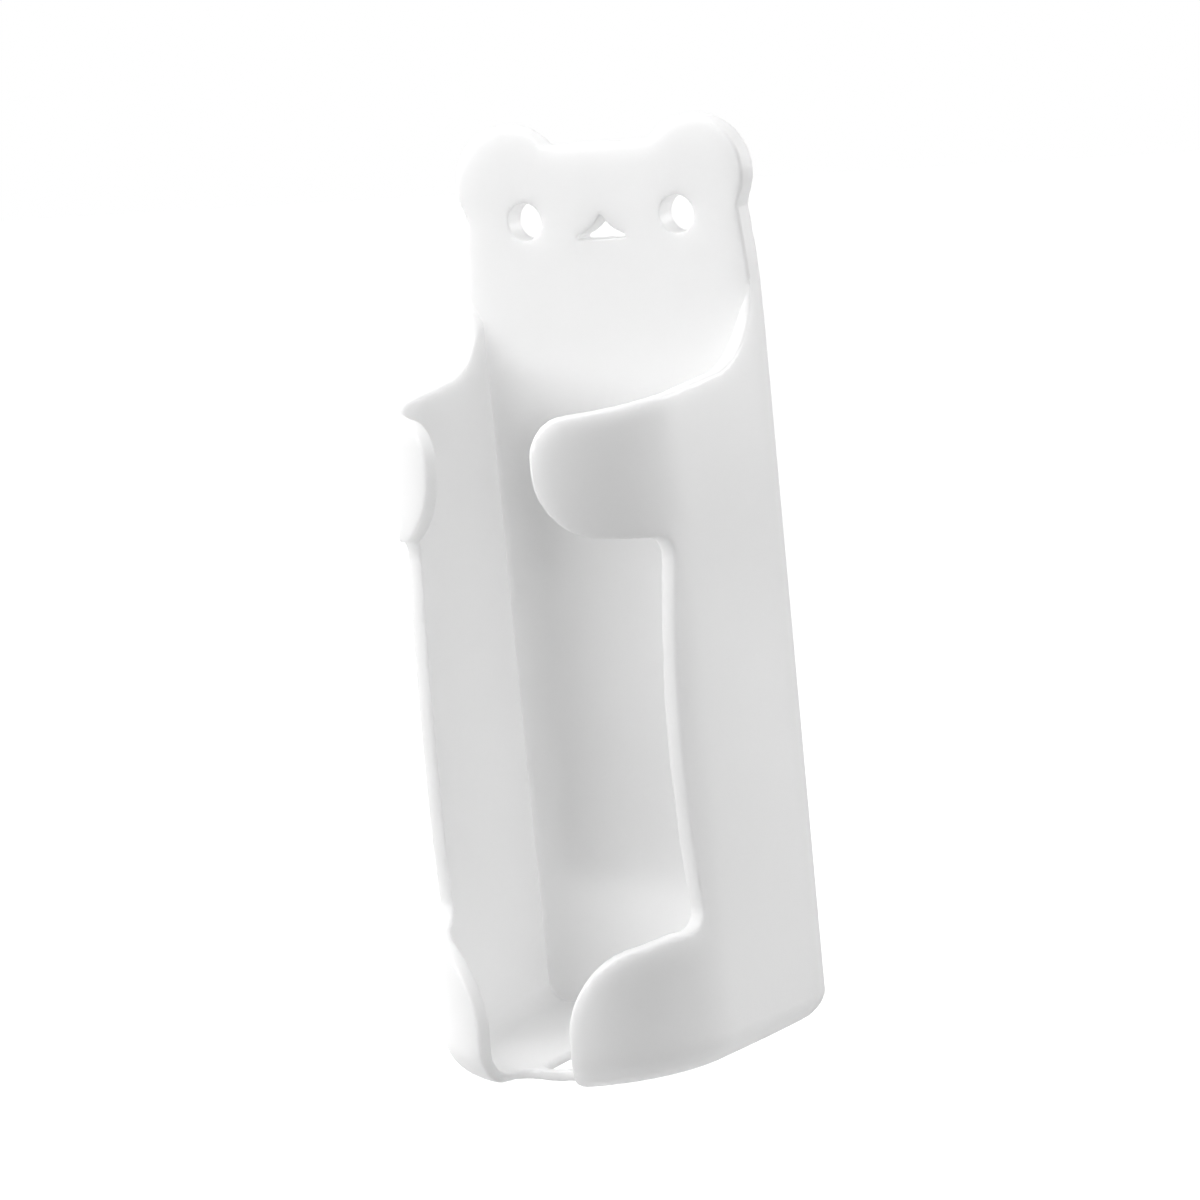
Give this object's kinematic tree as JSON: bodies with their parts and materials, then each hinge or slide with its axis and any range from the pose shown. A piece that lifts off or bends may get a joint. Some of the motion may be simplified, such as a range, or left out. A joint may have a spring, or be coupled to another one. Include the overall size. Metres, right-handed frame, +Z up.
{
  "type": "electric toothbrush holder",
  "caption": "Wall-stuck white plastic cradle for an electric toothbrush: open U channel with curled arms above and below a front window, drained floor and bear-head back plate.",
  "frame": {"origin": "middle of the adhesive pad's wall side", "axes": "+Y into the wall, +Z up, the open front faces -Y, +X to the right seen from the front"},
  "size_m": [0.042, 0.043, 0.1172],
  "materials": {
    "white_plastic": "satin white moulding",
    "foam": "pale closed-cell foam"
  },
  "bodies": {
    "root": {"holder_body": "white_plastic", "adhesive_pad": "foam"}
  },
  "joints": []
}
